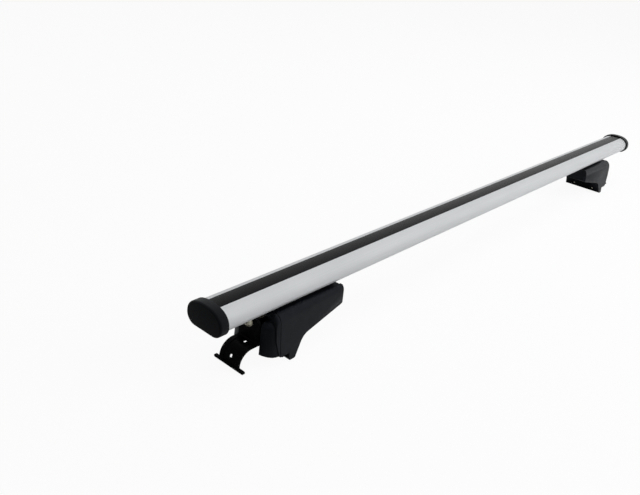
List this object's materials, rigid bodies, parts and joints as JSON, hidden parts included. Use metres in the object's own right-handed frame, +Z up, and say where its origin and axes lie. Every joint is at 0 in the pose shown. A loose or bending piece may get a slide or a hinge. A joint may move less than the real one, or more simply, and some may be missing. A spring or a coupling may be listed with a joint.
{
  "type": "roof rack crossbar",
  "caption": "Oval aluminium crossbar with a rubber top strip and end plugs, carried by sliding feet that clamp onto raised roof rails with a bolt-drawn hook strap.",
  "frame": {"origin": "middle of the bar's length and width, on the surface that the two feet's jaws stand on", "axes": "+X along the bar, +Y along the roof rails, +Z up"},
  "size_m": [1.2, 0.0754, 0.0971],
  "materials": {
    "anodised_bar": "satin silver anodised extrusion",
    "strip_rubber": "matte black rubber infill",
    "cap_plastic": "satin black moulding with a plain face",
    "foot_plastic": "fine-grained black moulding",
    "pad_rubber": "grooved black rubber",
    "black_steel": "semi-gloss black powder coat",
    "zinc": "yellowish zinc plate"
  },
  "bodies": {
    "bar": {"bar_profile": "anodised_bar", "top_strip": "strip_rubber", "left_end_cap": "cap_plastic", "right_end_cap": "cap_plastic"},
    "left_foot": {"left_bracket": "black_steel", "left_main_cover": "foot_plastic", "left_end_cover": "foot_plastic", "left_rail_pad": "pad_rubber", "left_pad_screws": "zinc", "left_clamp_nut": "zinc", "left_t_bolts": "zinc", "left_t_bolt_nuts": "zinc", "left_cover_screw": "black_steel"},
    "left_clamp": {"left_clamp_strap": "black_steel"},
    "left_bolt": {"left_clamp_bolt": "zinc", "left_clamp_washer": "black_steel"},
    "right_foot": {"right_bracket": "black_steel", "right_main_cover": "foot_plastic", "right_end_cover": "foot_plastic", "right_rail_pad": "pad_rubber", "right_pad_screws": "zinc", "right_clamp_nut": "zinc", "right_t_bolts": "zinc", "right_t_bolt_nuts": "zinc", "right_cover_screw": "black_steel"},
    "right_clamp": {"right_clamp_strap": "black_steel"},
    "right_bolt": {"right_clamp_bolt": "zinc", "right_clamp_washer": "black_steel"}
  },
  "joints": [
    {"name": "left_foot_slide", "type": "slide", "parent": "bar", "child": "left_foot", "axis": [1, 0, 0], "range_m": [-0.05, 0.1]},
    {"name": "right_foot_slide", "type": "slide", "parent": "bar", "child": "right_foot", "axis": [1, 0, 0], "range_m": [-0.1, 0.07]},
    {"name": "left_clamp_slide", "type": "slide", "parent": "left_foot", "child": "left_clamp", "axis": [1, 0, 0], "range_m": [-0.014, 0.02]},
    {"name": "right_clamp_slide", "type": "slide", "parent": "right_foot", "child": "right_clamp", "axis": [1, 0, 0], "range_m": [-0.02, 0.014]},
    {"name": "left_bolt_turn", "type": "hinge", "parent": "left_clamp", "child": "left_bolt", "pos_m": [-0.53, 0, 0.0504], "axis": [1, 0, 0], "range_deg": [-5040, 7200]},
    {"name": "right_bolt_turn", "type": "hinge", "parent": "right_clamp", "child": "right_bolt", "pos_m": [0.502, 0, 0.0504], "axis": [1, 0, 0], "range_deg": [-7200, 5040]}
  ],
  "couplings": [
    {"joint": "left_bolt_turn", "follows": "left_clamp_slide", "rad_per_m": 6283.2},
    {"joint": "right_bolt_turn", "follows": "right_clamp_slide", "rad_per_m": 6283.2}
  ]
}
